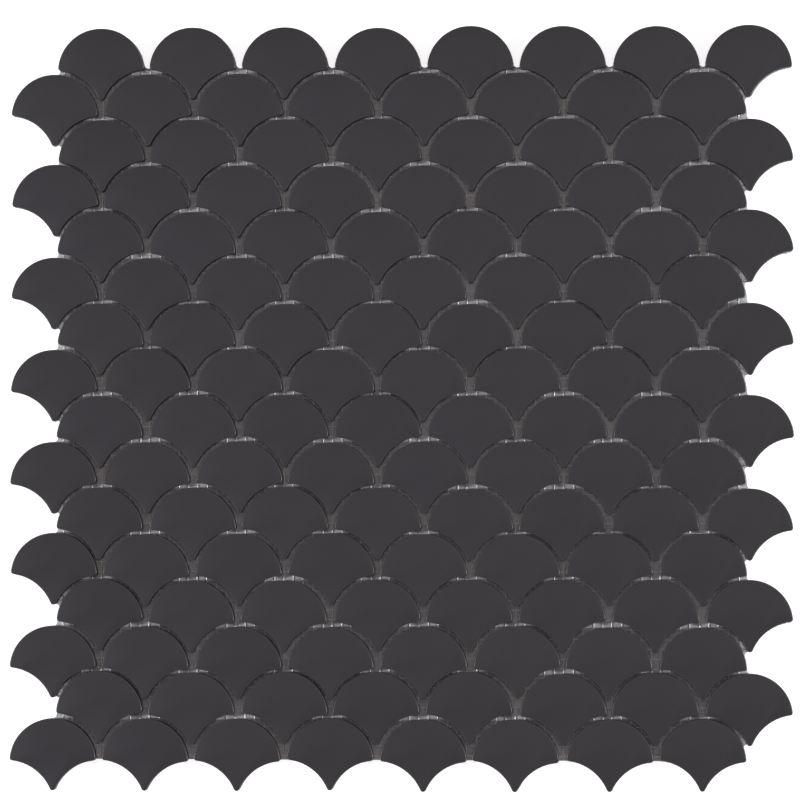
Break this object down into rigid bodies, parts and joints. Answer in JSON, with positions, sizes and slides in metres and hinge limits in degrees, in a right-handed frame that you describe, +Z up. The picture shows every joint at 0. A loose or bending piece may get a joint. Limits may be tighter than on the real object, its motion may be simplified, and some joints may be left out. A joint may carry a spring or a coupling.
{
  "type": "fish scale mosaic tile sheet",
  "caption": "Flexible sheet of matt charcoal glass mosaic: fan-shaped fish scale tiles in staggered rows with open joints, held from behind by a clear film with glass-fibre mesh in it.",
  "frame": {"origin": "middle of the sheet, on the underside of its backing", "axes": "+X along the rows of scales, +Y from the scales' points to their round heads, +Z up, out of the sheet's face"},
  "size_m": [0.3245, 0.3169, 0.0056],
  "materials": {
    "matt_glass": "matt, opaque, pressed, with softened arrises",
    "backing_film": "clear film, glossy, with white glass-fibre mesh in it"
  },
  "bodies": {
    "root": {"mesh_backing": "backing_film", "scale_row_01": "matt_glass", "scale_row_02": "matt_glass", "scale_row_03": "matt_glass", "scale_row_04": "matt_glass", "scale_row_05": "matt_glass", "scale_row_06": "matt_glass", "scale_row_07": "matt_glass", "scale_row_08": "matt_glass", "scale_row_09": "matt_glass", "scale_row_10": "matt_glass", "scale_row_11": "matt_glass", "scale_row_12": "matt_glass", "scale_row_13": "matt_glass", "scale_row_14": "matt_glass", "scale_row_15": "matt_glass", "scale_row_16": "matt_glass"}
  },
  "joints": []
}
